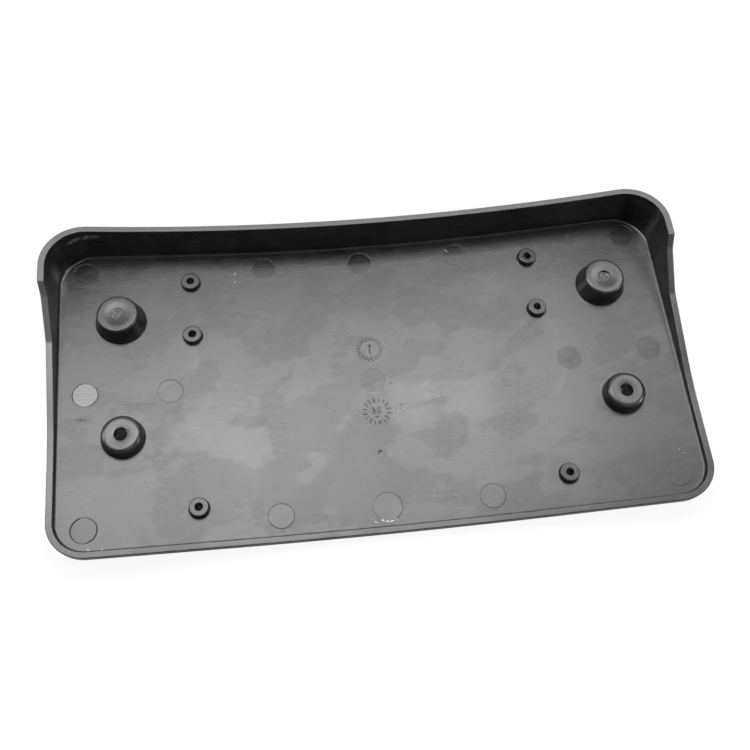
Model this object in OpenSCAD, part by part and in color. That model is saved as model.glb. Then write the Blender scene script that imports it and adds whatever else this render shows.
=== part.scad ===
// Number plate holder for a car bumper: one moulded tray, lying on its front face.
// +Z points to the back of the holder, +Y to its tall upper wall, X runs along it.
// The origin is the lowest point of the curved front face, on the centre of the plate screws.

/* [Outline] */
// length along X at the front face
body_len = 313.6; // [250:0.1:400]
// width along Y at the front face
body_wid = 160.4; // [120:0.1:220]
// middle of the width along Y, from the centre of the plate screws
body_mid_y = 0.3; // [-5:0.1:5]
// radius of the upper corners at the front face
upper_corner_r = 21.0; // [12:0.1:30]
// radius of the lower corners at the front face
lower_corner_r = 17.0; // [12:0.1:30]
// draft of every wall, in degrees
draft_deg = 2.5; // [0.5:0.1:5]
// thickness of the walls
wall_t = 3.1; // [2:0.1:5]

/* [Curved face] */
// thickness of the face
floor_t = 3.0; // [2:0.1:5]
// radius of the front face over its middle
belly_r = 885; // [500:1:2000]
// length of the curved middle, the ends run on straight
belly_len = 160; // [80:1:240]
// rounding of the outer edge of the front face
front_edge_r = 2.2; // [0.8:0.1:4]
// fillet at the foot of the walls, inside
foot_r = 1.6; // [0.6:0.1:3]

/* [Rim] */
// height of the upper wall above the face, at the middle
rim_high = 21.6; // [12:0.1:40]
// radius of the upper rim, the curve of the bumper
rim_r = 930; // [500:1:2000]
// height of the low rim above the face
rim_low = 2.8; // [1:0.1:8]
// where the step down from the upper wall starts
step_y = 50.9; // [30:0.1:65]
// run of the step along Y
step_run = 5.2; // [2:0.1:10]
// height of the side wall at the foot of the step, above the face
step_foot_h = 18.4; // [12:0.1:24]
// rounding at the foot of the step
step_blend_r = 5; // [1:0.5:12]
// where the steep part meets the long ramp
ramp_y = 25.5; // [10:0.1:35]
// where the long ramp starts to curve down
ramp_bend_y = -9.5; // [-25:0.1:5]
// where the long ramp runs out into the low rim
ramp_end_y = -35.5; // [-55:0.1:-26]
// radius of the curve at the low end of the ramp
ramp_r = 200; // [150:1:600]

/* [Mounting bosses] */
// distance between the upper bosses along X
upper_boss_x = 248.4; // [200:0.1:300]
// distance between the lower bosses along X
lower_boss_x = 246.8; // [200:0.1:300]
// place of the upper bosses along Y
upper_y = 39.3; // [20:0.1:50]
// place of the lower bosses along Y
lower_y = -23.0; // [-50:0.1:-5]
// screw hole diameter
boss_hole = 6.4; // [4:0.1:9]
// radius of the upper bosses at the face
upper_base_r = 12.4; // [9:0.05:16]
// radius of the upper bosses at the top
upper_top_r = 9.8; // [7:0.05:14]
// height of the upper bosses above the face
upper_h = 9.6; // [4:0.1:16]
// rounded shoulder of the upper bosses
upper_edge_r = 2.0; // [0.5:0.1:4]
// radius of the dished seat on the upper bosses
upper_dish_r = 6.6; // [4:0.1:8]
// depth of the dished seat on the upper bosses
upper_dish_d = 1.5; // [0.2:0.1:3]
// radius of the lower bosses at the face
lower_base_r = 10.5; // [8:0.05:16]
// radius of the lower bosses at the top
lower_top_r = 9.2; // [7:0.05:14]
// height of the lower bosses above the face
lower_h = 6.2; // [2:0.1:10]
// rounded shoulder of the lower bosses
lower_edge_r = 3.0; // [0.5:0.1:4]
// radius of the dished seat on the lower bosses
lower_dish_r = 5.4; // [4:0.1:8]
// depth of the dished seat on the lower bosses
lower_dish_d = 0.8; // [0.2:0.1:3]
// thickness of the end web under the dished seat
web_t = 3.0; // [2:0.1:5]

/* [Plate screw bosses] */
// distance between the plate screws along X
plate_x = 177.8; // [120:0.1:240]
// distance between the outer plate screws along Y
plate_y = 120.65; // [60:0.05:140]
// place of the middle pair along Y
plate_mid_y = 29.8; // [-40:0.1:50]
// outer diameter of the small bosses
post_d = 9.4; // [6:0.1:14]
// height of the small bosses above the face
post_h = 3.2; // [1:0.1:8]
// hole diameter of the small bosses
post_hole = 3.6; // [2:0.1:6]
// chamfer on the top of the small bosses
post_chamfer = 0.4; // [0.1:0.1:1]

/* [Ejector marks] */
// diameter of the round ejector marks
mark_d = 13.0; // [6:0.1:20]
// diameter of the mark in the middle of the lower row
mark_mid_d = 14.8; // [6:0.1:20]
// depth of a mark
mark_depth = 0.15; // [0.05:0.01:0.5]
// half the distance between the end marks along X
mark_end_x = 141.2; // [100:0.1:180]
// half the distance between the inner marks of the outer rows
mark_in_x = 51.0; // [20:0.1:90]
// half the distance between the inner marks of the middle row
mark_mid_x = 100.8; // [60:0.1:120]
// distance of the outer rows from the middle row along Y
mark_y = 67.2; // [40:0.1:75]
// place of the middle row along Y
mark_row_y = 0.3; // [-10:0.1:10]
// place of the mark in the middle of the middle row along Y
mark_centre_y = -0.4; // [-10:0.1:10]

/* [Date dials] */
// diameter of the two date dials
dial_d = 14.2; // [8:0.1:20]
// diameter of the inner ring of a dial
dial_inner_d = 7.9; // [4:0.1:12]
// width of the fine dial rings
dial_ring = 0.35; // [0.2:0.05:2]
// width of the pointer of a dial
pointer_w = 0.8; // [0.4:0.1:2]
// depth of the dial rings and pointers
dial_depth = 0.15; // [0.1:0.05:0.6]
// place of the upper dial along Y
dial_up_y = 16.7; // [5:0.1:30]
// place of the lower dial along Y
dial_low_y = -17.6; // [-40:0.1:-5]

/* [Hidden] */
$fn = 96;
// facets of the long curves
long_fn = 720;
eps = 0.02;
taper = tan(draft_deg);
half_x = body_len / 2;
half_y = body_wid / 2;
corners = [upper_corner_r, lower_corner_r];
floor_rad = belly_r - floor_t;
wing_a = asin(belly_len / 2 / floor_rad);
// cutters run past the outline by this much
past = 5 * wall_t;
// the columns run past the part at both ends, and the pans and rim cutters past the columns
below = -2 * floor_t;
above = ceil(floor_t + rim_high + pow(half_x, 2) / rim_r);
high = above + past;
// the pan sides lean out by this much, clear of the walls
flare_deg = 9;
// pieces reach this far into their neighbours; a hair of size or depth keeps tangent faces apart
lap = 0.5;
seam = 0.01;
// share of the face's thickness that a boss reaches down into it
root = 0.6;

function to_hundredth(v) = round(v * 100) / 100;
// height of the curve that lies `gap` above the front face, at x
function belly_z(x, gap) =
    let (r = belly_r - gap, xa = r * sin(wing_a), ax = abs(x))
    ax <= xa ? belly_r - sqrt(r * r - ax * ax)
             : belly_r - r * cos(wing_a) + (ax - xa) * tan(wing_a);
// height of the back surface of the face at x, and its slope there
function face_z(x) = belly_z(x, floor_t);
function face_a(x) = sign(x) * min(asin(min(abs(x) / floor_rad, 1)), wing_a);
side_z = face_z(half_x);
// angle of the long ramp, its height where it bends, and its height at its upper end
ramp_a = asin((ramp_bend_y - ramp_end_y) / ramp_r);
bend_h = rim_low - seam + ramp_r * (1 - cos(ramp_a));
ramp_top_h = bend_h + (ramp_y - ramp_bend_y) * tan(ramp_a);
step_foot_y = step_y - step_run;
// height of the upper rim above the face at the side walls
step_top_h = floor_t + rim_high + rim_r - sqrt(rim_r * rim_r - half_x * half_x) - side_z;
steep_a = atan2(step_foot_h - ramp_top_h, step_foot_y - ramp_y);
step_a = atan2(step_top_h - step_foot_h, step_run);
tangent = step_blend_r * tan((step_a - steep_a) / 2);

// drafted column with the rounded outline, `inset` inside the outer walls
module column(inset, z0, z1) {
    translate([0, body_mid_y, 0])
        for (s = [0, 1])
            mirror([0, s, 0])
                column_half(corners[s], inset, z0, z1);
}

// upper or lower half of a column, with corners of its own
module column_half(corner, inset, z0, z1) {
    r = corner - inset;
    g0 = to_hundredth(z0 * taper);
    g1 = to_hundredth(z1 * taper);
    hx = half_x - inset;
    hy = half_y - inset;
    cx = half_x - corner;
    cy = half_y - corner;
    translate([0, cy, 0])
        rotate([90, 0, 0])
            linear_extrude(height = cy + lap)
                polygon([[-hx - g0, z0], [hx + g0, z0], [hx + g1, z1], [-hx - g1, z1]]);
    rotate([90, 0, 90])
        linear_extrude(height = 2 * cx, center = true)
            polygon([[-lap, z0], [hy + g0, z0], [hy + g1, z1], [-lap, z1]]);
    for (s = [-1, 1])
        translate([s * cx, cy, z0])
            cylinder(h = z1 - z0, r1 = r + g0, r2 = r + g1);
}

// half section of a pan: flat bottom, rounded edge, side leaning out
module pan_half(half, edge, back) {
    ax = half - edge + edge * cos(flare_deg);
    aw = edge - edge * sin(flare_deg);
    polygon([[-back, 0], [half - edge, 0], [ax, aw],
             [ax + (high - aw) * tan(flare_deg), high], [-back, high]]);
    translate([half - edge, edge])
        circle(r = edge);
}

// full section of a pan, symmetric about its middle
module pan_section(half, edge) {
    pan_half(half, edge, 0);
    mirror([1, 0])
        pan_half(half, edge, 0);
}

// the curved face turned into a solid: all that lies above it, with its edge rounded
module pan(gap, inset, edge) {
    r = belly_r - gap;
    end_z = belly_z(half_x, gap);
    spread = taper * (end_z + edge);
    hy = to_hundredth(half_y - inset + taper * ((gap + end_z) / 2 + edge));
    end_x = half_x - inset + spread;
    wing = to_hundredth((end_x + edge * sin(wing_a) - r * sin(wing_a)) / cos(wing_a));
    translate([0, body_mid_y, 0]) {
        translate([0, 0, belly_r])
            rotate([90, 0, 0])
                rotate([0, 0, -90 - wing_a])
                    rotate_extrude(angle = 2 * wing_a, $fn = long_fn)
                        translate([r, 0])
                            rotate([0, 0, 90])
                                pan_section(hy, edge);
        for (s = [0, 1], u = [0, 1])
            mirror([s, 0, 0])
                mirror([0, u, 0])
                    translate([r * sin(wing_a), 0, belly_r - r * cos(wing_a)])
                        rotate([0, -wing_a, 0])
                            translate([0, 0, -seam])
                                pan_wing(wing, hy + seam, to_hundredth(corners[u] - inset + spread), edge);
    }
}

// half of a straight end of a pan, from just inside the curved middle to its rounded end
module pan_wing(len, hy, rc, edge) {
    translate([-lap, 0, 0])
        rotate([90, 0, 90])
            linear_extrude(height = len - rc + lap)
                pan_half(hy, edge, lap);
    translate([0, hy - rc, 0])
        rotate([90, 0, 0])
            linear_extrude(height = hy - rc + lap)
                pan_half(len, edge, 0);
    translate([len - rc, hy - rc, 0])
        rotate_extrude(angle = 90)
            pan_half(rc, edge, 0);
}

// all that is cut away above the rim of the walls
module above_rim() {
    // the upper wall and its corners follow the bumper
    translate([0, half_y + past, floor_t + rim_high + rim_r])
        rotate([90, 0, 0])
            cylinder(h = half_y + past - step_y + lap, r = rim_r, $fn = long_fn);
    // the low rim keeps the same height above the face all along
    translate([0, ramp_end_y, 0])
        rotate([90, 0, 0])
            linear_extrude(height = ramp_end_y + half_y + past)
                low_region();
    // the rims of the side walls
    for (s = [0, 1])
        mirror([s, 0, 0])
            translate([half_x, 0, side_z])
                rotate([0, -wing_a, 0])
                    rotate([90, 0, 90])
                        linear_extrude(height = 2 * past, center = true)
                            side_region();
}

// X-Z region above the low rim
module low_region() {
    r = floor_rad - rim_low;
    xa = r * sin(wing_a);
    za = belly_r - r * cos(wing_a);
    far = half_x + past;
    intersection() {
        translate([0, belly_r])
            circle(r = r, $fn = long_fn);
        translate([-far, 0])
            square([2 * far, high]);
    }
    for (s = [0, 1])
        mirror([s, 0])
            polygon([[xa, za], [far, za + (far - xa) * tan(wing_a)], [far, high], [xa, high]]);
}

// Y-Z region above the side walls, up from the face: curve, long ramp, steep part and step
module side_region() {
    intersection() {
        translate([ramp_end_y, rim_low - seam + ramp_r])
            circle(r = ramp_r, $fn = long_fn);
        translate([ramp_end_y, 0])
            square([ramp_bend_y - ramp_end_y, high]);
    }
    polygon([
        [ramp_bend_y - eps, bend_h],
        [ramp_bend_y, bend_h],
        [ramp_y, ramp_top_h],
        [step_foot_y - tangent * cos(steep_a), step_foot_h - tangent * sin(steep_a)],
        [step_foot_y + tangent * cos(step_a), step_foot_h + tangent * sin(step_a)],
        [step_y, step_top_h],
        [step_y, high],
        [ramp_bend_y - eps, high]]);
    translate([step_foot_y - tangent * cos(steep_a) - step_blend_r * sin(steep_a),
               step_foot_h - tangent * sin(steep_a) + step_blend_r * cos(steep_a)])
        circle(r = step_blend_r);
}

// turned body of a mounting boss, from inside the face up to its dished top
module boss_body(base_r, top_r, h, e, dish_r, dish_d) {
    lean = (base_r - top_r) / h;
    flank = atan(lean);
    deep = floor_t * root;
    cx = top_r + e * lean - e / cos(flank);
    ball = (dish_r * dish_r + dish_d * dish_d) / 2 / dish_d;
    difference() {
        rotate_extrude() {
            polygon([[0, -deep], [base_r + deep * lean, -deep],
                     [cx + e * cos(flank), h - e + e * sin(flank)], [cx, h], [0, h]]);
            translate([cx, h - e])
                circle(r = e);
        }
        translate([0, 0, h - dish_d + ball])
            sphere(r = ball);
    }
}

// screw-head recess and screw hole of a mounting boss, open to the front
module boss_core(base_r, top_r, h, dish_d, x) {
    lean = (base_r - top_r) / h;
    top = h - dish_d - web_t;
    r_in = top_r - wall_t + lean * (h - top);
    translate([x, 0, face_z(x) + below])
        cylinder(h = top - below, r1 = r_in + lean * (top - below), r2 = r_in);
    translate([x, 0, 0])
        cylinder(h = face_z(x) + h + floor_t, d = boss_hole);
}

// small boss for a plate screw
module post() {
    deep = floor_t * root;
    rotate_extrude()
        polygon([[0, -deep], [post_d / 2 + (post_h + deep) * taper, -deep],
                 [post_d / 2, post_h - post_chamfer],
                 [post_d / 2 - post_chamfer, post_h], [0, post_h]]);
}

// shallow round ejector mark, square to the face
module mark(x, y, d) {
    translate([x, y, face_z(x)])
        rotate([0, -face_a(x), 0])
            translate([0, 0, -mark_depth])
                cylinder(h = floor_t, d = d);
}

// date dial: two fine rings and a pointer
module dial(y) {
    r_in = dial_inner_d / 2 - dial_ring;
    translate([0, y, floor_t - dial_depth])
        linear_extrude(height = floor_t) {
            for (d = [dial_d, dial_inner_d])
                difference() {
                    circle(d = d);
                    circle(d = d - 2 * dial_ring);
                }
            polygon([[-pointer_w / 2, -r_in + pointer_w], [pointer_w / 2, -r_in + pointer_w],
                     [pointer_w / 2, r_in / 2], [0, r_in - pointer_w / 2], [-pointer_w / 2, r_in / 2]]);
        }
}

module plate_holder() {
    color([0.12, 0.12, 0.125])
        difference() {
            union() {
                difference() {
                    intersection() {
                        column(0, below, above);
                        pan(0, 0, front_edge_r);
                    }
                    intersection() {
                        column(wall_t, below, above + 1);
                        pan(floor_t, wall_t, foot_r);
                    }
                    above_rim();
                }
                for (s = [-1, 1]) {
                    translate([s * upper_boss_x / 2, upper_y, face_z(upper_boss_x / 2)])
                        boss_body(upper_base_r, upper_top_r, upper_h, upper_edge_r,
                                  upper_dish_r, upper_dish_d);
                    translate([s * lower_boss_x / 2, lower_y, face_z(lower_boss_x / 2)])
                        boss_body(lower_base_r, lower_top_r, lower_h, lower_edge_r,
                                  lower_dish_r, lower_dish_d);
                    for (y = [plate_y / 2, plate_mid_y, -plate_y / 2])
                        translate([s * plate_x / 2, y, face_z(plate_x / 2)])
                            post();
                }
            }
            for (s = [-1, 1]) {
                translate([0, upper_y, 0])
                    boss_core(upper_base_r, upper_top_r, upper_h, upper_dish_d, s * upper_boss_x / 2);
                translate([0, lower_y, 0])
                    boss_core(lower_base_r, lower_top_r, lower_h, lower_dish_d, s * lower_boss_x / 2);
                for (y = [plate_y / 2, plate_mid_y, -plate_y / 2])
                    translate([s * plate_x / 2, y, 0])
                        cylinder(h = face_z(plate_x / 2) + post_h + floor_t, d = post_hole);
                for (y = [-mark_y, 0, mark_y])
                    mark(s * mark_end_x, mark_row_y + y, mark_d);
                for (y = [-mark_y, mark_y])
                    mark(s * mark_in_x, mark_row_y + y, mark_d);
                mark(s * mark_mid_x, mark_row_y, mark_d);
            }
            mark(0, mark_row_y + mark_y, mark_d);
            mark(0, mark_centre_y, mark_d);
            mark(0, mark_row_y - mark_y, mark_mid_d);
            dial(dial_up_y);
            dial(dial_low_y);
        }
}

plate_holder();
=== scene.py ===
import math

import bmesh
import bpy
import numpy as np
from mathutils import Matrix, Vector
from mathutils.geometry import delaunay_2d_cdt


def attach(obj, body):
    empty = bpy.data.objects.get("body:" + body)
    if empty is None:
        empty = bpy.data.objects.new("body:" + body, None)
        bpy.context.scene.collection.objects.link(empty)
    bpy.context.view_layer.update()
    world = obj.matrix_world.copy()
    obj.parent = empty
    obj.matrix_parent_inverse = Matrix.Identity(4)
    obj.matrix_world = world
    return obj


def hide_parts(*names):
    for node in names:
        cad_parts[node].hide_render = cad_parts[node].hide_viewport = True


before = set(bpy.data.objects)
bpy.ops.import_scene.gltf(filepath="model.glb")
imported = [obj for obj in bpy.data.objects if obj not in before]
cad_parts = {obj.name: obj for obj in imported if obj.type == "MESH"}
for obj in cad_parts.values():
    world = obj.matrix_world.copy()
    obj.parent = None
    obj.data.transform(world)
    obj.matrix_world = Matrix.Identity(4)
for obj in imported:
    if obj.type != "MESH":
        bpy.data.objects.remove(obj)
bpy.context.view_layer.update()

scene = bpy.context.scene
scene.view_settings.view_transform = "Standard"

# one mm, and the distance within which points become one, in metres
MM, MERGE = 0.001, 2e-6

# sizes in mm
HALF_X, HALF_Y, MID_Y = 156.8, 80.2, 0.3
UPPER_CORNER, LOWER_CORNER = 21.0, 17.0
TAPER = math.tan(math.radians(2.5))
WALL, FACE = 3.1, 3.0
BELLY_R, BELLY_LEN = 885.0, 160.0
EDGE_R, FOOT_R = 2.2, 1.1
WING = math.asin(BELLY_LEN / 2 / (BELLY_R - FACE))
RIM_HIGH, RIM_R, RIM_LOW = 21.6, 930.0, 2.8
STEP_Y, STEP_RUN, STEP_FOOT_H, STEP_BLEND = 50.9, 5.2, 18.4, 5.0
RAMP_Y, RAMP_BEND_Y, RAMP_END_Y, RAMP_R = 25.5, -9.5, -35.5, 200.0
RIM_ROUND_OUT, RIM_ROUND_IN = 0.4, 0.35
BOSS_HOLE, WEB, SEAT_DROP = 3.2, 3.0, 1.0
POST_R, POST_H, POST_HOLE = 4.7, 3.2, 1.8
MARK_R, MARK_MID_R, MARK_DEEP, MARK_DISC = 6.25, 7.1, 0.15, 0.06
DIAL_R, DIAL_INNER_R, DIAL_RING, DIAL_DEEP, DIAL_LINE = 7.1, 3.95, 0.35, 0.1, 0.015
FIGURE_RISE = 0.14

# a large boss: place, base radius, top radius, height, shoulder radius, dish radius, dish depth
BOSSES = [(s * 124.2, 39.3, 12.3, 10.0, 9.6, 1.5, 6.4, 0.42) for s in (-1, 1)]
BOSSES += [(s * 123.4, -23.0, 10.3, 9.7, 6.2, 2.6, 5.2, 0.3) for s in (-1, 1)]
POSTS = [(s * 88.9, y) for s in (-1, 1) for y in (60.325, 29.8, -60.325)]
# an ejector mark: place, radius, share of the full groove, gloss of its disc, slope of its disc along X
MARKS = [
    (-141.2, -66.9, MARK_R, 0.75, 0.8, 0.1),
    (-141.2, 0.3, MARK_R, 0.6, 1.6, 0.06),
    (-141.2, 67.5, MARK_R, 0.42, 0.9, 0),
    (141.2, -66.9, MARK_R, 0.85, 0.3, 0),
    (141.2, 0.3, MARK_R, 0.41, -1.8, 0),
    (141.2, 67.5, MARK_R, 0.42, 1.0, 0),
    (-51.0, -66.9, MARK_R, 0.85, 0.4, 0),
    (51.0, -66.9, MARK_R, 0.85, 0.3, 0),
    (-100.8, 0.3, MARK_R, 0.8, 0.35, 0.005),
    (-51.0, 67.5, MARK_R, 0.42, 1.2, 0),
    (0.0, 67.5, MARK_R, 0.42, 2.0, 0),
    (51.0, 67.5, MARK_R, 0.41, 0.8, 0),
    (100.8, 0.3, MARK_R, 0.41, -1.5, 0),
    (0.0, -0.4, MARK_R, 0.5, -0.4, 0),
    (0.0, -66.9, MARK_MID_R, 0.7, 0.35, 0),
]
DIALS = [(0.0, 16.7), (0.0, -17.6)]


def belly(x, gap):
    """Height of the curve that lies gap above the front face: a circle over the middle, its tangent beyond."""
    r = BELLY_R - gap
    xa = r * math.sin(WING)
    ax = np.abs(x)
    arc = BELLY_R - np.sqrt(r * r - np.minimum(ax, xa) ** 2)
    return arc + np.maximum(ax - xa, 0) * math.tan(WING)


def side_profile():
    """Heights of a side wall's rim above the face along Y: low rim, circle, ramp, steep part, rounded foot, step.
    The polyline is averaged over a short stretch, so that each of its corners is a little round."""
    ramp_a = math.asin((RAMP_BEND_Y - RAMP_END_Y) / RAMP_R)
    bend_h = RIM_LOW + RAMP_R * (1 - math.cos(ramp_a))
    ramp_top = bend_h + (RAMP_Y - RAMP_BEND_Y) * math.tan(ramp_a)
    foot_y = STEP_Y - STEP_RUN
    top_h = FACE + RIM_HIGH + RIM_R - math.sqrt(RIM_R**2 - HALF_X**2) - float(belly(HALF_X, FACE))
    steep = math.atan2(STEP_FOOT_H - ramp_top, foot_y - RAMP_Y)
    step = math.atan2(top_h - STEP_FOOT_H, STEP_RUN)
    reach = STEP_BLEND * math.tan((step - steep) / 2)
    turn = np.linspace(steep, step, 12)
    cy = foot_y - reach * math.cos(steep) - STEP_BLEND * math.sin(steep)
    ch = STEP_FOOT_H - reach * math.sin(steep) + STEP_BLEND * math.cos(steep)
    curve = np.linspace(RAMP_END_Y, RAMP_BEND_Y, 24)
    curve_h = RIM_LOW + RAMP_R - np.sqrt(RAMP_R**2 - (curve - RAMP_END_Y) ** 2)
    ys = np.concatenate([[-90.0], curve, [RAMP_Y], cy + STEP_BLEND * np.sin(turn), [STEP_Y, 90.0]])
    hs = np.concatenate([[RIM_LOW], curve_h, [ramp_top], ch - STEP_BLEND * np.cos(turn), [top_h, top_h]])
    fine = np.arange(-85, 85, 0.05)
    reach = 25
    weights = np.hanning(2 * reach + 1)
    raw = np.pad(np.interp(fine, ys, hs), reach, mode="edge")
    return fine, np.convolve(raw, weights / weights.sum(), "valid")


SIDE_Y, SIDE_H = side_profile()


def rim_height(x, y):
    """Height of the rim: the bumper's curve over the upper wall, and the face plus the side profile elsewhere."""
    upper = FACE + RIM_HIGH + RIM_R - np.sqrt(RIM_R**2 - x**2)
    slope = np.minimum(np.abs(x) / BELLY_R, math.tan(WING))
    side = belly(x, FACE) + np.interp(y, SIDE_Y, SIDE_H) * np.sqrt(1 + slope**2)
    t = np.clip((y - STEP_Y + 0.7) / 1.4, 0, 1)
    t = t * t * (3 - 2 * t)
    return side + (upper - side) * t


def rim_point(x, y, drop):
    """Point of the rim lowered by drop along the rim's own normal, taken from the height's two slopes."""
    h = 0.05
    zx = (rim_height(x + h, y) - rim_height(x - h, y)) / (2 * h)
    zy = (rim_height(x, y + h) - rim_height(x, y - h)) / (2 * h)
    n = np.stack([-zx, -zy, np.ones_like(zx)], -1)
    n /= np.linalg.norm(n, axis=-1, keepdims=True)
    return np.stack([x, y, rim_height(x, y)], -1) - drop * n


class Shell:
    """Collects grids and triangles of one closed surface, in mm, and joins them where they meet."""

    def __init__(self):
        self.points, self.faces, self.count = [], [], 0

    def add(self, points, faces):
        """Points in mm, and faces that count them from 0."""
        self.points.append(points)
        self.faces += (faces + self.count).tolist()
        self.count += len(points)

    def grid(self, rows):
        """Rows of points become strips of quads between each row and the next, closed round."""
        points = np.stack(rows)
        index = np.arange(points.shape[0] * points.shape[1]).reshape(points.shape[:2])
        after = np.roll(index, -1, axis=1)
        quads = np.stack([index[:-1], after[:-1], after[1:], index[1:]], -1)
        self.add(points.reshape(-1, 3), quads.reshape(-1, 4))

    def mesh(self, name):
        """Mesh in metres: points that lie within MERGE become one, and all faces look outward."""
        data = bpy.data.meshes.new(name)
        data.from_pydata((np.concatenate(self.points) * MM).tolist(), [], self.faces)
        bm = bmesh.new()
        bm.from_mesh(data)
        bmesh.ops.remove_doubles(bm, verts=bm.verts, dist=MERGE)
        bmesh.ops.recalc_face_normals(bm, faces=bm.faces)
        bm.to_mesh(data)
        bm.free()
        return data


def outline():
    """Stations round the outline, anticlockwise: place on the front outline and outward direction.
    Four straights, closer together by the step, and four quarter circles."""
    places, outs = [], []
    low, up = LOWER_CORNER, UPPER_CORNER
    x_low, x_up = HALF_X - low, HALF_X - up
    y0, y1 = MID_Y - HALF_Y, MID_Y + HALF_Y
    along = np.linspace(0, 1, 60, endpoint=False)
    spans = ((y0 + low, RAMP_END_Y - 2, 2.0), (RAMP_END_Y - 2, RAMP_Y - 3, 1.5), (RAMP_Y - 3, STEP_Y - 9, 0.7),
             (STEP_Y - 9, STEP_Y + 3, 0.3), (STEP_Y + 3, y1 - up - 0.4, 1.0))
    side = np.concatenate([np.arange(*span) for span in spans])

    def straight(x, y, nx, ny):
        """A side at x, y, of which one is a number; its outward direction is nx, ny all along."""
        places.append(np.stack([x + 0 * y, y + 0 * x], -1))
        outs.append(np.tile([float(nx), float(ny)], (len(places[-1]), 1)))

    def corner(cx, cy, r, start):
        """Quarter circle from the angle start: centre plus r times the cosine and sine."""
        a = np.radians(start + np.linspace(0, 90, 28, endpoint=False))
        d = np.stack([np.cos(a), np.sin(a)], -1)
        places.append([cx, cy] + r * d)
        outs.append(d)

    straight(-x_low + 2 * x_low * along, y0, 0, -1)
    corner(x_low, y0 + low, low, -90)
    straight(HALF_X, side, 1, 0)
    corner(x_up, y1 - up, up, 0)
    straight(x_up - 2 * x_up * along, y1, 0, 1)
    corner(-x_up, y1 - up, up, 90)
    straight(-HALF_X, np.concatenate([[y1 - up], side[:0:-1]]), -1, 0)
    corner(-x_low, y0 + low, low, 180)
    return np.concatenate(places), np.concatenate(outs)


def walls(shell):
    """The wall's section carried round the outline: rounded front edge, drafted outer wall, rounded rim,
    inner wall and foot fillet. Returns the loops on the front face and on the floor."""
    place, out = outline()
    zero = np.zeros(len(place))

    def spot(offset):
        """Places moved outward by offset."""
        p = place + out * (zero + offset)[:, None]
        return p[:, 0], p[:, 1]

    def on_face(offset, gap, rise=0.0):
        """Points moved outward by offset, rise above the curve that lies gap above the front."""
        x, y = spot(offset)
        return np.stack([x, y, belly(x, gap) + rise], -1)

    def quarter(r, gap, centre, angle):
        """Point of a quarter circle that starts flat on the face and ends on the wall."""
        return on_face(centre + r * math.sin(angle), gap, r * (1 - math.cos(angle)))

    def rim_row(inward, drop):
        """Point of the rim, inward of the drafted outer wall, which leans out by the taper times its height."""
        x, y = spot(inward)
        for _ in range(3):
            x, y = spot(TAPER * rim_height(x, y) - inward)
        return rim_point(x, y, drop)

    def wall_rows(start, end):
        """Rows on the straight line between two rows, close to both ends of it."""
        return [start + (end - start) * t for t in (0.04, 0.35, 0.65, 0.96)]

    front = TAPER * (belly(place[:, 0], 0) + EDGE_R) - EDGE_R
    rows = [on_face(front - 0.6, 0)]
    rows += [quarter(EDGE_R, 0, front, a) for a in np.linspace(0, math.pi / 2, 9)]
    r = RIM_ROUND_OUT
    rows += wall_rows(rows[-1], rim_row(0.0, r))
    rows += [rim_row(r * (1 - math.sin(a)), r * (1 - math.cos(a))) for a in np.linspace(math.pi / 2, 0, 6)]
    rows += [rim_row(r + (WALL - r - RIM_ROUND_IN) * t, 0.0) for t in (0.08, 0.5, 0.92)]
    r = RIM_ROUND_IN
    rows += [rim_row(WALL - r + r * math.sin(a), r * (1 - math.cos(a))) for a in np.linspace(0, math.pi / 2, 6)]
    foot = -WALL + TAPER * (belly(place[:, 0], FACE) + FOOT_R) - FOOT_R
    rows += wall_rows(rows[-1], quarter(FOOT_R, FACE, foot, math.pi / 2))
    rows += [quarter(FOOT_R, FACE, foot, a) for a in np.linspace(math.pi / 2, 0, 7)]
    rows.append(on_face(foot - 0.2, FACE))
    shell.grid(rows)
    return rows[0], rows[-1]


def ring(cx, cy, r, z, count):
    """Points round a vertical axis; r and z are numbers or arrays over the turn."""
    a = np.linspace(0, 2 * math.pi, count, endpoint=False)
    return np.stack([cx + r * np.cos(a), cy + r * np.sin(a), z + 0 * a], -1)


def face_ring(cx, cy, r, gap, count, deep=0.0):
    """Points of a circle laid on the curved face, deep below it."""
    p = ring(cx, cy, r, 0.0, count)
    p[:, 2] = belly(p[:, 0], gap) - deep
    return p


def bend(p0, p1, p2, steps):
    """Quadratic curve from p0 to p2 that leaves and arrives along the lines to p1."""
    return [(1 - t) ** 2 * p0 + 2 * t * (1 - t) * p1 + t * t * p2 for t in np.linspace(0, 1, steps)]


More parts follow.
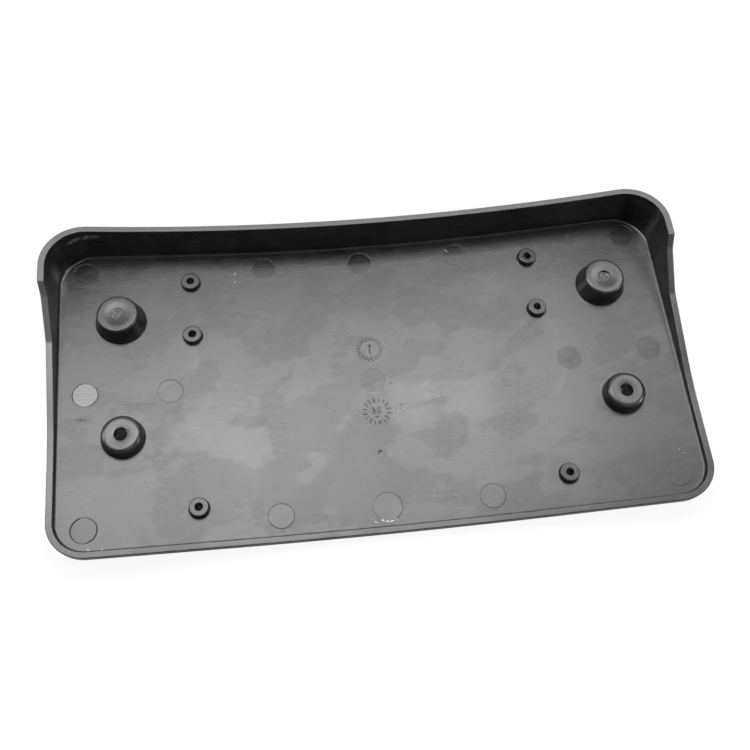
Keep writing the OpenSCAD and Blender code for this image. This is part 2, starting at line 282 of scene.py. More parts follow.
def boss(shell, cx, cy, base_r, top_r, h, e, dish_r, dish_d, count=96):
    """Turned mounting boss: foot fillet on the sloping face, flank, round shoulder, spherical dish, screw hole,
    and the recess with its conical wall down to the front face. Returns its loops on the floor and the front."""
    z0 = float(belly(cx, FACE))
    lean = (base_r - top_r) / h
    flank = math.atan(lean)
    turn = np.linspace(0, 2 * math.pi, count, endpoint=False)
    tilt = np.sign(cx) * math.tan(WING) * np.cos(turn)

    def at(r, z):
        """Circle of radius r at the height z above the face at the boss's middle."""
        return ring(cx, cy, r, z0 + z, count)

    foot = base_r / (1 + lean * tilt)
    fillet = 0.5
    flank_low = at(foot - lean * fillet, foot * tilt + fillet)
    rows = bend(face_ring(cx, cy, foot + fillet, FACE, count), at(foot, foot * tilt), flank_low, 7)
    sx = top_r + e * lean - e / math.cos(flank)
    flank_high = at(sx + e * math.cos(flank), h - e + e * math.sin(flank))
    rows += [flank_low + (flank_high - flank_low) * t for t in (0.06, 0.35, 0.65, 0.94)]
    rows += [at(sx + e * math.cos(t), h - e + e * math.sin(t)) for t in np.linspace(flank, math.pi / 2, 9)]
    ball = (dish_r**2 + dish_d**2) / 2 / dish_d

    def dish(r):
        """Height at radius r: the dish's lowest point plus the rise of a sphere."""
        return h - dish_d + ball - math.sqrt(ball**2 - r**2)

    lip, edge = 1.1, 0.35
    rows += bend(at(dish_r + lip, h), at(dish_r, h), at(dish_r - lip, dish(dish_r - lip)), 6)
    rows += [at(r, dish(r)) for r in np.linspace(dish_r - lip, BOSS_HOLE + edge, 6)[1:]]
    top = dish(BOSS_HOLE + edge)
    rows += [at(BOSS_HOLE + edge * (1 - math.sin(t)), top - edge * (1 - math.cos(t)))
             for t in np.linspace(0, math.pi / 2, 5)[1:]]
    seat = h - WEB - SEAT_DROP
    r_in = top_r - WALL + lean * (SEAT_DROP + WEB)
    rows += [at(BOSS_HOLE, z) for z in (top - edge - 0.4, seat + 0.3)]
    rows += [at(BOSS_HOLE + 0.1, seat + 0.05)]
    rows += [at(r, seat) for r in (BOSS_HOLE + 0.3, r_in - 0.8, r_in - 0.3)]
    rows += [at(r_in - 0.02, seat - 0.15)]
    front_h = float(belly(cx, 0)) - z0
    mouth = (r_in + lean * (seat - front_h)) / (1 + lean * tilt)
    start = at(r_in + lean * 0.6, seat - 0.6)
    end = at(mouth - lean * 0.5, front_h + mouth * tilt + 0.5)
    rows += [start, (start + end) / 2]
    rows += bend(end, at(mouth, front_h + mouth * tilt), face_ring(cx, cy, mouth + 0.5, 0.0, count), 5)
    shell.grid(rows)
    return rows[0], rows[-1]


def post(shell, cx, cy, count=64):
    """Small turned boss for a plate screw: foot fillet, drafted wall, rounded top, hole through to the front."""
    z0 = float(belly(cx, FACE))
    turn = np.linspace(0, 2 * math.pi, count, endpoint=False)
    tilt = np.sign(cx) * math.tan(WING) * np.cos(turn)

    def at(r, z):
        """Circle of radius r at the height z above the face at the boss's middle."""
        return ring(cx, cy, r, z0 + z, count)

    base = POST_R + POST_H * TAPER
    fillet, r, edge = 0.5, 0.55, 0.35
    low = at(base - TAPER * fillet, base * tilt + fillet)
    rows = bend(face_ring(cx, cy, base + fillet, FACE, count), at(base, base * tilt), low, 6)
    high = at(POST_R, POST_H - r)
    rows += [low + (high - low) * t for t in (0.12, 0.88)]
    rows += [at(POST_R - r + r * math.cos(t), POST_H - r + r * math.sin(t)) for t in np.linspace(0, math.pi / 2, 6)]
    rows += [at(q, POST_H) for q in (POST_R - r - 0.15, POST_HOLE + edge + 0.15)]
    rows += [at(POST_HOLE + edge * (1 - math.sin(t)), POST_H - edge * (1 - math.cos(t)))
             for t in np.linspace(0, math.pi / 2, 5)]
    front = POST_HOLE * tilt - FACE
    rows += [at(POST_HOLE, POST_H - edge - 0.2), at(POST_HOLE, 0.0)]
    rows += bend(at(POST_HOLE, front + 0.3), at(POST_HOLE, front), face_ring(cx, cy, POST_HOLE + 0.3, 0.0, count), 4)
    shell.grid(rows)
    return rows[0], rows[-1]


def mark(shell, cx, cy, r, groove, lean, count=64):
    """Round ejector mark: a fine groove round a disc that lies a little below the face and leans along X."""
    deep = MARK_DEEP * groove
    section = [(r + 0.06, 0.0), (r, deep), (r - 0.14, deep), (r - 0.24, MARK_DISC), (r - 0.5, MARK_DISC)]
    section += [(r * share, MARK_DISC) for share in (0.66, 0.33, 0.1, 0.0)]
    rows = [face_ring(cx, cy, q, FACE, count, d) for q, d in section]
    for row in rows[3:]:
        row[:, 2] += lean * (row[:, 0] - cx)
    shell.grid(rows)
    return rows[0]


def dial_groove(shell, cx, cy, r, count=72):
    """Ring groove of a date dial, between two circles on the face."""
    w = DIAL_RING
    section = [(r, 0.0), (r - 0.08, DIAL_LINE), (r - w + 0.08, DIAL_LINE), (r - w, 0.0)]
    rows = [face_ring(cx, cy, q, FACE, count, deep) for q, deep in section]
    shell.grid(rows)
    return rows[0], rows[-1]


def dial_pointer(shell, cx, cy):
    """Arrow-shaped recess: its outline on the face, then the same outline smaller and deeper, to its middle."""
    w, r = 0.4, DIAL_INNER_R - DIAL_RING
    shape = np.array([[-w, 0.8 - r], [0, 0.8 - r], [w, 0.8 - r], [w, 0.0], [w, r / 2], [w / 2, r * 0.75 - 0.2],
                      [0, r - 0.4], [-w / 2, r * 0.75 - 0.2], [-w, r / 2], [-w, 0.0]])
    rows = []
    for share, deep in ((1.0, 0.0), (0.94, DIAL_DEEP), (0.5, DIAL_DEEP), (0.0, DIAL_DEEP)):
        p = shape * share + [cx, cy]
        rows.append(np.column_stack([p, belly(p[:, 0], FACE) - deep]))
    shell.grid(rows)
    return rows[0]


def inside(points, loop):
    """Whether each point lies in the closed loop: an odd number of its edges cross the line to the right."""
    x, y = points[:, :1], points[:, 1:2]
    x0, y0 = loop[None, :, 0], loop[None, :, 1]
    x1, y1 = np.roll(x0, -1, 1), np.roll(y0, -1, 1)
    crosses = (y0 > y) != (y1 > y)
    rise = np.where(y1 == y0, 1.0, y1 - y0)
    at = x0 + (y - y0) * (x1 - x0) / rise
    return (np.sum(crosses & (at > x), axis=1) % 2) == 1


def fill(shell, outer, holes, gap, spacing):
    """Triangles between the outer loop and the holes, over an even grid of points laid on the curved face."""
    loops = [outer] + holes
    points = np.concatenate([p[:, :2] for p in loops])
    starts = np.cumsum([0] + [len(p) for p in loops])
    edges = np.concatenate([np.stack([np.arange(len(p)), np.roll(np.arange(len(p)), -1)], -1) + s
                            for p, s in zip(loops, starts)])
    low, high = outer.min(axis=0), outer.max(axis=0)
    gx, gy = np.meshgrid(np.arange(low[0], high[0], spacing), np.arange(low[1], high[1], spacing))
    gx = gx + (np.arange(gx.shape[0]) % 2)[:, None] * spacing / 2
    inner = np.column_stack([gx.ravel(), gy.ravel()])
    near = np.min(np.hypot(inner[:, :1] - points[None, :, 0], inner[:, 1:] - points[None, :, 1]), axis=1)
    inner = inner[(near > spacing * 0.35) & inside(inner, outer)]
    every = np.concatenate([points, inner])
    result = delaunay_2d_cdt([Vector(p) for p in every.tolist()], edges.tolist(), [], 0, 1e-5)
    xy = np.array([v[:] for v in result[0]])
    tris = np.array(result[2])
    middle = xy[tris].mean(axis=1)
    keep = inside(middle, outer)
    for p in holes:
        keep &= ~inside(middle, p)
    shell.add(np.column_stack([xy, belly(xy[:, 0], gap)]), tris[keep])


def coordinates(data):
    """The vertices' places, as rows of x, y and z."""
    places = np.empty(len(data.vertices) * 3)
    data.vertices.foreach_get("co", places)
    return places.reshape(-1, 3)


def triangles(data):
    """The mesh cut into triangles, as rows of three vertices."""
    data.calc_loop_triangles()
    corners = np.empty(len(data.loop_triangles) * 3, dtype=np.int32)
    data.loop_triangles.foreach_get("vertices", corners)
    return corners.reshape(-1, 3)


def shade_smooth(data):
    data.polygons.foreach_set("use_smooth", np.ones(len(data.polygons), dtype=bool))


def smooth_by_area(data):
    """Normals that are the sum of the faces' normals times their areas; on the face itself they are exact."""
    co, tri = coordinates(data), triangles(data)
    cross = np.cross(co[tri[:, 1]] - co[tri[:, 0]], co[tri[:, 2]] - co[tri[:, 0]])
    normal = np.zeros_like(co)
    for k in range(3):
        np.add.at(normal, tri[:, k], cross)
    x, z = co[:, 0] / MM, co[:, 2] / MM
    for gap, way in ((FACE, 1.0), (0.0, -1.0)):
        r = BELLY_R - gap
        on = np.abs(z - belly(x, gap)) < 0.002
        xa = np.clip(x, -r * math.sin(WING), r * math.sin(WING))
        slope = xa / np.sqrt(r * r - xa * xa)
        normal[on] = (np.stack([-slope, 0 * slope, np.ones_like(slope)], -1) * way)[on]
    normal /= np.maximum(np.linalg.norm(normal, axis=1, keepdims=True), 1e-20)
    shade_smooth(data)
    data.normals_split_custom_set_from_vertices(normal.tolist())


def paint_zones(data):
    """A colour at each vertex says where it lies: red on an ejector mark's disc (its gloss), green in a groove, which
    the material darkens as painted shade, blue on the rim, most along the upper wall and at the low left edge, which
    the material lightens as a painted highlight, and alpha 1 on a large boss.
    Each comes from the vertex's height against the face and the rim, and from its distance from the marks and bosses.
    The glossiest disc below the middle gets a painted sheen in the material."""
    x, y, z = (coordinates(data) / MM).T
    below = belly(x, FACE) - z
    on_floor = np.abs(below) < 0.5
    disc = np.zeros(len(x))
    for cx, cy, r, _, gloss, _ in MARKS:
        disc = np.where(on_floor & (np.hypot(x - cx, y - cy) < r - 0.2), gloss, disc)
    # painted shade: the grooves and recesses found here are darkened in the material
    groove = np.where(on_floor & (below > MARK_DISC + 0.02) & (disc == 0), 1.0, 0.0)
    # painted highlight: the rim's rounding is lightened in the material, most along the upper wall and at the low
    # left edge
    painted_rim_highlight = np.clip(1 - (rim_height(x, y) - z) / RIM_ROUND_OUT, 0, 1)
    left_rim_highlight = np.clip((-x - 150) / 4, 0, 1) * np.clip((75 + y) / 30, 0, 1)
    painted_rim_highlight = painted_rim_highlight * (np.clip((y + 10) / 90, 0, 1) + left_rim_highlight * 0.7)
    raised = np.zeros(len(x))
    for cx, cy, base_r, *_ in BOSSES:
        raised = np.where((np.hypot(x - cx, y - cy) < base_r) & (below < -1.0), 1.0, raised)
    colours = np.stack([disc, groove, painted_rim_highlight, raised], -1)
    data.color_attributes.new("zones", "FLOAT_COLOR", "POINT").data.foreach_set("color", colours.ravel())


def piece(name, data, material):
    """Object of the part, in place and untransformed, with its material and body."""
    obj = bpy.data.objects.new(name, data)
    scene.collection.objects.link(obj)
    data.materials.append(material)
    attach(obj, "root")
    return obj


def holder(material):
    """The whole moulding as one closed surface: walls, bosses, posts, marks and dials, and the face and the front
    filled in between them."""
    shell = Shell()
    front_loop, floor_loop = walls(shell)
    pairs = [boss(shell, *values) for values in BOSSES] + [post(shell, *values) for values in POSTS]
    floor_holes = [a for a, b in pairs] + [mark(shell, *values[:4], values[5]) for values in MARKS]
    for cx, cy in DIALS:
        outer, inner = dial_groove(shell, cx, cy, DIAL_R)
        outer_small, inner_small = dial_groove(shell, cx, cy, DIAL_INNER_R)
        fill(shell, inner, [outer_small], FACE, 1.5)
        fill(shell, inner_small, [dial_pointer(shell, cx, cy)] if cy > 0 else [], FACE, 1.5)
        floor_holes.append(outer)
    fill(shell, floor_loop, floor_holes, FACE, 5.0)
    fill(shell, front_loop, [b for a, b in pairs], 0.0, 7.0)
    data = shell.mesh("holder_body")
    smooth_by_area(data)
    paint_zones(data)
    obj = piece("holder_body", data, material)
    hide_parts("plate_holder")


def wobble(angle, seed, strength):
    """1 plus three sine waves whose phases come from the seed: an uneven outline."""
    waves = [(2, 0.5, 1.3), (3, 0.3, 2.7), (5, 0.2, 4.1)]
    return 1 + strength * sum(size * np.sin(n * angle + seed * phase) for n, size, phase in waves)


def mound(shell, place, length, width, height, turn=0.0, seed=1.0, uneven=0.3, count=28):
    """Low closed lump: an uneven ellipse that rises as the root of 1 - t^4 to its middle, with a flat underside."""
    a = np.linspace(0, 2 * math.pi, count, endpoint=False)
    ragged = wobble(a, seed, uneven)
    cos, sin = math.cos(math.radians(turn)), math.sin(math.radians(turn))
    u, v = length / 2 * np.cos(a) * ragged, width / 2 * np.sin(a) * ragged
    section = [(t, height * math.sqrt(1 - t**4)) for t in (0.0, 0.3, 0.55, 0.75, 0.9, 0.97)]
    section += [(1.0, 0.0), (0.9, -0.1), (0.0, -0.1)]
    rows = []
    for t, z in section:
        x = place[0] + t * (u * cos - v * sin)
        y = place[1] + t * (u * sin + v * cos)
        rows.append(np.stack([x, y, place[2] + z * (1 + 0.15 * t * np.sin(3 * a + seed)) + 0 * a], -1))
    shell.grid(rows)


def flash_lip(shell, cx, cy, z, r, start, end, width, height, seed=1.0, steps=40, sides=10):
    """Ragged lip of flash along part of a circle: an ellipse carried round the arc, its size the root of a half
    sine wave times an uneven wobble, so that it is gone at both ends."""
    t = np.linspace(0, 1, steps)
    a = np.radians(start + (end - start) * t)
    size = np.sin(math.pi * t) ** 0.5 * wobble(9 * t, seed, 0.45)
    size[[0, -1]] = 0
    turn = np.linspace(0, 2 * math.pi, sides, endpoint=False)
    out = r + width / 2 * size[:, None] * np.cos(turn)
    up = z + height / 2 * size[:, None] * np.sin(turn)
    shell.grid(np.stack([cx + out * np.cos(a)[:, None], cy + out * np.sin(a)[:, None], up], -1))


def hole_level(values, r):
    """Height of a boss's dish at radius r: its lowest point plus the rise of a sphere."""
    cx, _, _, _, h, _, dish_r, dish_d = values
    ball = (dish_r**2 + dish_d**2) / 2 / dish_d
    return float(belly(cx, FACE)) + h - dish_d + ball - math.sqrt(ball**2 - r**2)


def hole_skin(material):
    """Skin of flash over the upper screw holes, its edges in the holes' walls: closed discs whose top is a level plus
    a sine of x times a cosine of y, lower in the middle, less a bell curve of the distance for each pit."""
    a = np.linspace(0, 2 * math.pi, 72, endpoint=False)

    def sheet(values, level, pits, share, side):
        """Ring at a share of the hole's radius: of the top where side is 0, of the underside where it is 1."""
        r = (BOSS_HOLE + 0.08) * share
        u, v = r * np.cos(a), r * np.sin(a)
        z = level - side * 0.45 + 0.07 * np.sin(2.1 * u + 0.4) * np.cos(1.7 * v) - 0.12 * (1 - share) + 0.1 * share**6
        for px, py, pr, deep in pits if side == 0 else []:
            z = z - 0.35 * deep * np.exp(-((u - px) ** 2 + (v - py) ** 2) / pr**2)
        return np.stack([values[0] + u, values[1] + v, z], -1)

    shell = Shell()
    upper_left = (BOSSES[0], 0.15, [(-0.6, 1.9, 0.55, 0.9), (-2.2, 0.6, 0.45, 0.7)])
    upper_right = (BOSSES[1], 0.9, [(1.5, 1.2, 1.2, 0.6)])
    for values, drop, pits in (upper_left, upper_right):
        level = hole_level(values, BOSS_HOLE) - drop
        shell.grid([sheet(values, level, pits, t, 0) for t in np.linspace(0, 1, 20)]
                   + [sheet(values, level, pits, t, 1) for t in (1.0, 0.6, 0.0)])
    data = shell.mesh("hole_skin")
    shade_smooth(data)
    piece("hole_skin", data, material)


def hole_flash(material):
    """Ragged lips and nibs of flash round the screw holes.
    A lip has a radius, two angles, a width, a height and a seed; a nib a place from the hole, a size and a seed."""
    upper_left, upper_right, lower_left, lower_right = BOSSES
    shell = Shell()
    lips = (
        (upper_left, 3.15, -75, 50, 0.55, 0.5, 1.0), (upper_left, 3.6, -20, 40, 0.35, 0.3, 2.2),
        (lower_left, 3.35, -70, 62, 0.6, 0.55, 3.1), (lower_left, 3.9, -35, 45, 0.35, 0.3, 4.7),
        (upper_right, 3.1, -110, 20, 0.5, 0.45, 5.9), (lower_right, 3.15, 150, 205, 0.7, 0.5, 6.3))
    nibs = (
        (upper_left, 0.4, -3.0, 1.3, 0.6, 1.4), (lower_right, -2.7, 0.5, 1.2, 0.8, 2.9),
        (lower_left, 2.6, 1.3, 0.9, 0.6, 0.7), (upper_right, -2.6, -1.6, 1.4, 0.9, 3.6))
    for values, r, start, end, width, height, seed in lips:
        level = hole_level(values, r) + 0.02
        flash_lip(shell, values[0], values[1], level, r, start, end, width, height, seed)
    for values, dx, dy, length, width, seed in nibs:
        place = (values[0] + dx, values[1] + dy, hole_level(values, 3.2) - 0.25)
        mound(shell, place, length, width, 0.35, 35 * seed, seed)
    data = shell.mesh("hole_flash")
    shade_smooth(data)
    piece("hole_flash", data, material)


# lumps on the face: place, length, width, height, turn in degrees, seed
VESTIGES = [
    (-0.8, -38.6, 2.0, 1.5, 0.3, 20, 1.2),
    (-1.6, -40.0, 1.6, 0.4, 0.12, 60, 2.0),
    (8.8, -3.1, 0.8, 0.6, 0.1, 10, 7.0),
    (12.4, -15.2, 0.7, 0.6, 0.1, 50, 8.0),
    (9.7, -16.9, 0.9, 0.6, 0.1, 0, 9.0),
    (33.3, -10.6, 0.9, 0.6, 0.1, 30, 10.0),
]
CHIPS = [
    (-6.6, -73.9, 1.5, 0.6, 0.2, -20, 2.5),
    (-3.2, -73.4, 2.0, 0.8, 0.3, -25, 3.0),
    (-1.2, -74.0, 2.0, 0.9, 0.35, -8, 4.0),
    (0.9, -74.1, 2.3, 0.9, 0.35, 6, 5.0),
    (3.0, -73.5, 1.4, 0.5, 0.25, 24, 6.0),
    (-66.1, 65.2, 0.9, 0.5, 0.12, 70, 1.0),
    (-66.3, 60.4, 0.8, 0.4, 0.12, 40, 2.0),
    (-139.1, -76.2, 1.2, 0.5, 0.2, 0, 3.0),
    (-133.0, -76.4, 0.9, 0.5, 0.2, 20, 4.0),
    (47.2, 70.4, 2.6, 0.25, 0.1, -50, 5.0),
    (146.0, -57.0, 0.5, 0.4, 0.1, 10, 6.0),
    (144.0, -54.6, 0.4, 0.3, 0.1, 40, 7.0),
]


def face_lumps(name, table, material):
    """Small lumps on the face: left by the gate and by dirt, or torn chips that have turned pale."""
    shell = Shell()
    for x, y, length, width, height, turn, seed in table:
        mound(shell, (x, y, float(belly(x, FACE))), length, width, height, turn, seed, 0.4)
    data = shell.mesh(name)
    shade_smooth(data)
    piece(name, data, material)


def raised_number(text, height, x, y, turn):
    """Points and triangles of a raised number, centred, turned, and laid on the face by adding the face's height."""
    curve = bpy.data.curves.new("number", "FONT")
    curve.body, curve.size, curve.extrude = text, height, FIGURE_RISE
    curve.align_x, curve.align_y, curve.resolution_u, curve.offset = "CENTER", "CENTER", 3, 0.05
    shape = bpy.data.objects.new("number", curve)
    data = bpy.data.meshes.new_from_object(shape)
    p, tri = coordinates(data), triangles(data)
    bpy.data.objects.remove(shape)
    bpy.data.meshes.remove(data)
    c, s = math.cos(turn), math.sin(turn)
    px, py = x + p[:, 0] * c - p[:, 1] * s, y + p[:, 0] * s + p[:, 1] * c
    return np.stack([px, py, belly(px, FACE) + p[:, 2]], -1), tri


def dial_figures(material):
    """Plain figures of the two date dials, a little raised: round the lower one a ring of strokes and small numbers,
    with a pair of digits in its middle, and round the upper one a zigzag ring of short bars, with a pointer."""
    shell = Shell()
    (ux, uy), (lx, ly) = DIALS
    for k in range(16):
        a = math.radians(90 - 22.5 * (k + 0.6))
        text = str(k // 2 + 1) if k % 2 else "I"
        shell.add(*raised_number(text, 3.2, lx + 5.95 * math.cos(a), ly + 5.95 * math.sin(a), a - math.pi / 2))
    shell.add(*raised_number("3", 4.9, lx - 1.55, ly + 0.3, 0.2))
    shell.add(*raised_number("0", 4.5, lx + 1.35, ly + 0.2, -0.1))
    flash_lip(shell, lx, ly - 2.3, float(belly(lx, FACE)), 0.9, 150, 390, 0.5, 0.25, 2.0, 24, 8)
    for k in range(40):
        a = 2 * math.pi * k / 40
        r, long = (6.3, 1.5) if k % 2 else (5.2, 1.3)
        mound(shell, (ux + r * math.cos(a), uy + r * math.sin(a), float(belly(ux, FACE)) - 0.02), long, 0.7, FIGURE_RISE,
              math.degrees(a) + 40 * math.sin(2.3 * k), 0.5 + k, 0.3, 10)
    mound(shell, (ux, uy - 0.6, float(belly(ux, FACE)) - 0.02), 4.6, 0.55, 0.16, 92, 1.0, 0.1, 12)
    mound(shell, (ux + 0.2, uy + 1.9, float(belly(ux, FACE)) - 0.02), 1.8, 1.4, 0.16, 0, 2.0, 0.3, 12)
    piece("dial_figures", shell.mesh("dial_figures"), material)


class Value:
    """A socket of a material; arithmetic on it adds Math nodes."""

    def __init__(self, maker, socket):
        self.maker, self.socket = maker, socket

    def math(self, operation, *others):
        """Math node with this value as its first input."""
        return self.maker.node("ShaderNodeMath", {"operation": operation}, [self, *others]).out(0)

    def __add__(self, o): return self.math("ADD", o)
    def __radd__(self, o): return self.math("ADD", o)
    def __sub__(self, o): return self.math("SUBTRACT", o)
    def __rsub__(self, o): return self.math("MULTIPLY_ADD", -1.0, o)
    def __mul__(self, o): return self.math("MULTIPLY", o)
    def __rmul__(self, o): return self.math("MULTIPLY", o)
    def __truediv__(self, o): return self.math("DIVIDE", o)

    def step(self, low, high):
        """0 up to low and 1 from high on, smooth between; the other way round if low is the larger."""
        if low > high:
            return 1 - self.step(high, low)
        return self.maker.node("ShaderNodeMapRange", {"interpolation_type": "SMOOTHSTEP"},
                               {"Value": self, "From Min": low, "From Max": high}).out("Result")


class Made:
    """A node that has been made, with its outputs as values."""

    def __init__(self, maker, node):
        self.maker, self.node = maker, node

    def out(self, name):
        return Value(self.maker, self.node.outputs[name])


class Maker:
    """Builds one material's nodes."""

    def __init__(self, name):
        self.material = bpy.data.materials.new(name)
        self.material.use_nodes = True
        self.tree = self.material.node_tree
        self.tree.nodes.clear()

    def node(self, kind, settings=None, inputs=None):
        """Adds a node; its inputs are given by name or in order, as values to link or as constants to set."""
        node = self.tree.nodes.new(kind)
        for key, value in (settings or {}).items():
            setattr(node, key, value)
        pairs = inputs.items() if isinstance(inputs, dict) else enumerate(inputs or [])
        for key, value in pairs:
            socket = node.inputs[key]
            if isinstance(value, Value):
                self.tree.links.new(value.socket, socket)
            else:
                socket.default_value = value
        return Made(self, node)

    def place(self):
        """Object coordinates in mm: the vector and its three parts."""
        raw = self.node("ShaderNodeTexCoord").out("Object")
        mm = self.node("ShaderNodeVectorMath", {"operation": "SCALE"}, {"Vector": raw, "Scale": 1 / MM}).out("Vector")
        parts = self.node("ShaderNodeSeparateXYZ", {}, {"Vector": mm})
        return mm, parts.out("X"), parts.out("Y"), parts.out("Z")

    def noise(self, vector, scale, detail=2.0, rough=0.5, stretch=(1, 1, 1), turn=0.0):
        """Noise of scale per mm, stretched along axes that are turned about Z by turn degrees."""
        mapped = self.node("ShaderNodeMapping", {"vector_type": "TEXTURE"},
                           {"Vector": vector, "Rotation": (0, 0, math.radians(turn)), "Scale": stretch}).out(0)
        return self.node("ShaderNodeTexNoise", {},
                         {"Vector": mapped, "Scale": scale, "Detail": detail, "Roughness": rough}).out(0)

    def blend(self, factor, a, b):
        """Colour a where factor is 0 and colour b where it is 1."""
        node = self.node("ShaderNodeMix", {"data_type": "RGBA"}, {"Factor": factor})
        for key, value in (("A", a), ("B", b)):
            socket = [s for s in node.node.inputs if s.name == key and s.type == "RGBA"][0]
            if isinstance(value, Value):
                self.tree.links.new(value.socket, socket)
            else:
                socket.default_value = value
        return Value(self, [s for s in node.node.outputs if s.type == "RGBA"][0])


def grey(level):
    return level, level, level, 1


def flow_arcs(x, y, cloud):
    """Arcs where the flow met: lighter inside part of a circle and fading inward; each has centre, radius, fade."""
    arcs = 0.0
    for cx, cy, r, fade in ((-108.0, 18.0, 21.0, 7.0), (66.0, 4.0, 34.0, 6.0)):
        dx, dy = x - cx, y - cy
        away = (dx * dx + dy * dy).math("SQRT") + cloud * 8.0
        arcs = away.step(r + 5.2, r + 4) * away.step(r + 4 - fade, r + 4) * dx.step(r * 0.5, r * 0.8) + arcs
    return arcs


def specks(m, spot, scale, share, size):
    """Round specks: the cells of a Voronoi pattern, of which a share is picked by the cell's colour."""
    cells = m.node("ShaderNodeTexVoronoi", {}, {"Vector": spot, "Scale": scale, "Randomness": 1.0})
    pick = m.node("ShaderNodeSeparateColor", {}, {0: cells.out("Color")}).out(0)
    return cells.out("Distance").step(*size) * pick.step(*share)


def chalk_smudge(m, spot, x, y, z):
    """Chalky smudge on the inner side of the upper wall, near its left corner: noise within an ellipse."""
    wall_x, wall_z = (x + 139.0) / 9.0, (z - 29.6) / 2.0
    zone = (wall_x * wall_x + wall_z * wall_z).step(1.0, 0.4) * y.step(70.0, 71.0) * y.step(79.8, 79.2)
    return zone * m.noise(spot, 0.7, 3.0, 0.7, stretch=(2.5, 1.0, 1.0)).step(0.42, 0.55)


def smears(m, spot, x, y):
    """Dull streaks near the left bosses and dull dots round the dials, each within an ellipse."""
    dot = specks(m, spot, 0.75, (0.55, 0.6), (0.42, 0.25))
    streak = m.noise(spot, 1.0, 3.0, 0.65, stretch=(4.0, 1.0, 1.0)).step(0.5, 0.62)
    places = ((-143.0, -13.0, 6.0, 1.8, streak), (-116.0, -6.5, 9.0, 1.8, streak), (-96.0, -9.5, 8.0, 1.2, streak),
              (13.0, -3.0, 6.0, 1.6, dot), (30.0, -9.0, 7.0, 2.4, dot), (14.0, -17.0, 4.0, 3.0, dot),
              (60.0, -14.0, 2.6, 7.0, dot))
    total = 0.0
    for cx, cy, wide, high, kind in places:
        u, v = (x - cx) / wide, (y - cy) / high
        total = (u * u + v * v).step(1.0, 0.5) * kind + total
    return total


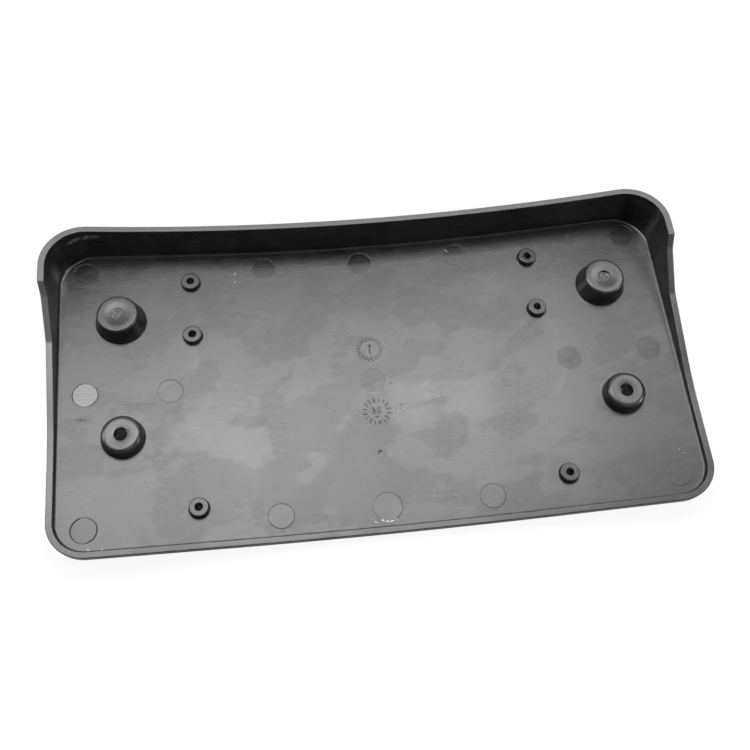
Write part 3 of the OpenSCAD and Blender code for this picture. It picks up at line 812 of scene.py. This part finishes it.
def plastic(name, lift=0.0, dull=0.0, own=False):
    """Black filled plastic as moulded: drag lines along X, flow patches, arcs where the flow met, grain and dust;
    with painted light: a painted highlight on the rim, painted shade in the grooves and a painted sheen on one mark's
    disc.
    lift lightens the colour and dull roughens the surface, for flash and raised figures; own reads the boss zone."""
    m = Maker(name)
    spot, x, y, z = m.place()
    zone_colour = m.node("ShaderNodeAttribute", {"attribute_name": "zones"})
    zones = m.node("ShaderNodeSeparateColor", {}, {0: zone_colour.out("Color")})
    disc, groove, painted_rim_highlight = zones.out(0), zones.out(1), zones.out(2)
    raised = zone_colour.out("Alpha") * (1.0 if own else 0.0)
    away_x = x.math("ABSOLUTE")

    # patterns over the whole part
    cloud = m.noise(spot, 0.02, 4.0, 0.6, stretch=(1.0, 1.4, 1.0))
    patch = m.noise(spot, 0.045, 3.0, 0.6, stretch=(1.5, 1.0, 1.0), turn=12.0).step(0.48, 0.54)
    drag = m.noise(spot, 1.3, 3.0, 0.7, stretch=(16.0, 1.0, 1.0))
    fleck = m.noise(spot, 1.3, 3.0, 0.7, stretch=(6.0, 1.0, 1.0), turn=3.0)
    busy = m.noise(spot, 0.04, 2.0, 0.6).step(0.42, 0.6)
    grain = m.noise(spot, 1.9, 2.0, 0.7)
    blotch = m.noise(spot, 0.22, 4.0, 0.65, stretch=(1.8, 1.0, 1.0))
    dark_fleck = fleck.step(0.55, 0.66) * busy
    light_fleck = fleck.step(0.45, 0.35) * busy
    dust = specks(m, spot, 0.3, (0.6, 0.95), (0.12, 0.04))

    # wear and flow marks in their places, and a painted sheen on one disc
    arcs = flow_arcs(x, y, cloud)
    chalk = chalk_smudge(m, spot, x, y, z)
    smear = smears(m, spot, x, y)
    edge = y + cloud * 8.0
    # painted sheen: the glossiest ejector-mark disc below the middle is lightened in the material
    film = edge.step(1.5, -1.0) * edge.step(-34.0, -14.0) * x.step(5.0, 10.0) * x.step(66.0, 52.0)
    painted_disc_sheen = disc.step(1.3, 1.6) * y.step(20.0, 10.0)

    # smoother near the upper wall and in the corners, and on the walls; duller in the low left corner
    corner = away_x.step(112.0, 150.0) * y.step(25.0, 66.0)
    corner = corner.math("MAXIMUM", x.step(20.0, 90.0) * y.step(28.0, 58.0) * 0.7)
    low_left = x.step(-122.0, -150.0) * y.step(-25.0, -60.0) * z.step(11.0, 10.0)
    shade = corner.math("MAXIMUM", y.step(54.0, 70.0) * 0.9) * z.step(14.3, 13.2) * y.step(76.5, 75.5)
    side = away_x.step(146.0, 149.0) * y.step(30.0, 34.0)
    wall = y.step(70.0, 74.0).math("MAXIMUM", side) * z.step(15.0, 17.0) * (1 - painted_rim_highlight)

    pale = patch * 0.15 + blotch * 0.55 + drag * 0.35 + light_fleck * 0.2 - dark_fleck * 0.15
    dark = (0.005 + lift, 0.005 + lift, 0.0053 + lift, 1)
    light = (0.026 + lift, 0.026 + lift, 0.0265 + lift, 1)
    colour = m.blend(pale.step(0.28, 0.72), dark, light)
    # painted light: a painted highlight on the rim, a painted sheen on the glossiest low disc and painted shade in
    # the grooves; the dust and chalk are real
    for share, paint in ((painted_rim_highlight * 0.9, grey(0.085)), (painted_disc_sheen * 0.09, grey(1)), (groove * 0.5, grey(0.003)),
                         (dust * 0.6, (0.2, 0.2, 0.195, 1)), (chalk * 0.8, (0.3, 0.3, 0.29, 1))):
        colour = m.blend(share, colour, paint)

    rough = 0.235 + dull - shade * 0.12 - raised * 0.045 - wall * 0.1 + blotch * 0.03 + cloud * 0.1 + drag * 0.08
    rough = rough + grain * 0.04 - patch * 0.022 + dark_fleck * 0.045 - light_fleck * 0.03
    rough = rough - arcs * 0.035 - film * 0.025 + smear * 0.16 - disc * 0.055 + low_left * 0.07
    rough = rough + groove * 0.1 + chalk * 0.3
    height = grain * 0.35 + drag * 0.3 + fleck * 0.2 + blotch * 0.8
    bump = m.node("ShaderNodeBump", {}, {"Strength": 0.35, "Distance": 0.00005, "Height": height}).out("Normal")
    bsdf = m.node("ShaderNodeBsdfPrincipled", {},
                  {"Base Color": colour, "Roughness": rough, "IOR": 1.6, "Normal": bump})
    m.node("ShaderNodeOutputMaterial", {}, {"Surface": bsdf.out(0)})
    return m.material


def camera():
    """The photograph's camera, as fitted to the screw bosses, the marks and the outline."""
    cam = bpy.data.cameras.new("camera")
    cam.sensor_width = 36.0
    cam.lens = 45.165
    cam.clip_start, cam.clip_end = 0.02, 20.0
    obj = bpy.data.objects.new("camera", cam)
    scene.collection.objects.link(obj)
    place = Vector((-0.037893, -0.184600, 0.441214))
    aim = Vector((0.000582, -0.000965, 0.010))
    turn = (aim - place).to_track_quat("-Z", "Y").to_matrix()
    turn = turn @ Matrix.Rotation(math.radians(6.0422), 3, "Z")
    obj.matrix_world = Matrix.Translation(place) @ turn.to_4x4()
    scene.camera = obj


def softbox(name, place, size, watts):
    """Rectangular lamp that faces the part's middle."""
    light = bpy.data.lights.new(name, "AREA")
    light.shape = "RECTANGLE"
    light.size, light.size_y = size
    light.energy = watts
    obj = bpy.data.objects.new(name, light)
    scene.collection.objects.link(obj)
    obj.location = place
    obj.rotation_mode = "QUATERNION"
    obj.rotation_quaternion = (-Vector(place)).to_track_quat("-Z", "Y")


def studio():
    """Softboxes above and behind the part, two small ones at its sides, and a world that is white to the camera."""
    softbox("wide_softbox", (-0.17, 0.31, 1.1), (1.0, 0.35), 4.9)
    softbox("middle_softbox", (0.04, 0.305, 1.08), (0.32, 0.34), 3.6)
    softbox("left_softbox", (-0.48, 0.44, 1.08), (0.26, 0.46), 1.3)
    softbox("left_window", (-0.33, 0.4, 1.06), (0.13, 0.4), 1.0)
    softbox("right_softbox", (0.64, 0.48, 1.08), (0.28, 0.46), 3.7)
    softbox("fill", (0.25, -0.55, 0.9), (0.6, 0.5), 0.8)
    softbox("back", (0, 0.92, 0.58), (1.4, 0.42), 3.2)
    softbox("right_side", (0.87, -0.2, 0.47), (0.18, 0.18), 2.6)
    softbox("left_side", (-0.83, 0.3, 0.56), (0.16, 0.16), 2.8)
    world = bpy.data.worlds.new("studio")
    scene.world = world
    world.use_nodes = True
    nodes, links = world.node_tree.nodes, world.node_tree.links
    background = nodes["Background"]
    background.inputs["Color"].default_value = (1, 1, 1, 1)
    seen = nodes.new("ShaderNodeMath")
    seen.operation = "MULTIPLY_ADD"
    seen.inputs[1].default_value, seen.inputs[2].default_value = 0.9, 0.1
    links.new(nodes.new("ShaderNodeLightPath").outputs["Is Camera Ray"], seen.inputs[0])
    links.new(seen.outputs[0], background.inputs["Strength"])


def pale_floor():
    """White to the camera round the part, with a light shadow, and plain matte under it, where holes show it."""
    data = bpy.data.meshes.new("floor")
    half = 3.0
    data.from_pydata([(-half, -half, 0), (half, -half, 0), (half, half, 0), (-half, half, 0)], [], [(0, 1, 2, 3)])
    obj = bpy.data.objects.new("floor", data)
    scene.collection.objects.link(obj)
    m = Maker("pale_floor")
    _, x, y, _ = m.place()
    beyond = x.math("ABSOLUTE").step(148, 152).math("MAXIMUM", y.math("ABSOLUTE").step(72, 76))
    matte = m.node("ShaderNodeBsdfPrincipled", {}, {"Base Color": grey(0.9), "Roughness": 0.9})
    white = m.node("ShaderNodeEmission", {}, {"Strength": 1.0})
    seen = m.node("ShaderNodeLightPath").out("Is Camera Ray") * beyond * 0.92
    mixed = m.node("ShaderNodeMixShader", {}, [seen, matte.out(0), white.out(0)])
    m.node("ShaderNodeOutputMaterial", {}, {"Surface": mixed.out(0)})
    data.materials.append(m.material)


camera()
studio()
pale_floor()
holder(plastic("black_plastic", own=True))
hole_skin(plastic("skin_plastic", 0.012, 0.06))
hole_flash(plastic("torn_plastic", 0.06, 0.08))
face_lumps("face_vestiges", VESTIGES, plastic("vestige_plastic", 0.0, 0.1))
face_lumps("face_chips", CHIPS, plastic("pale_chips", 0.6, 0.2))
dial_figures(plastic("figure_plastic", 0.0, 0.22))
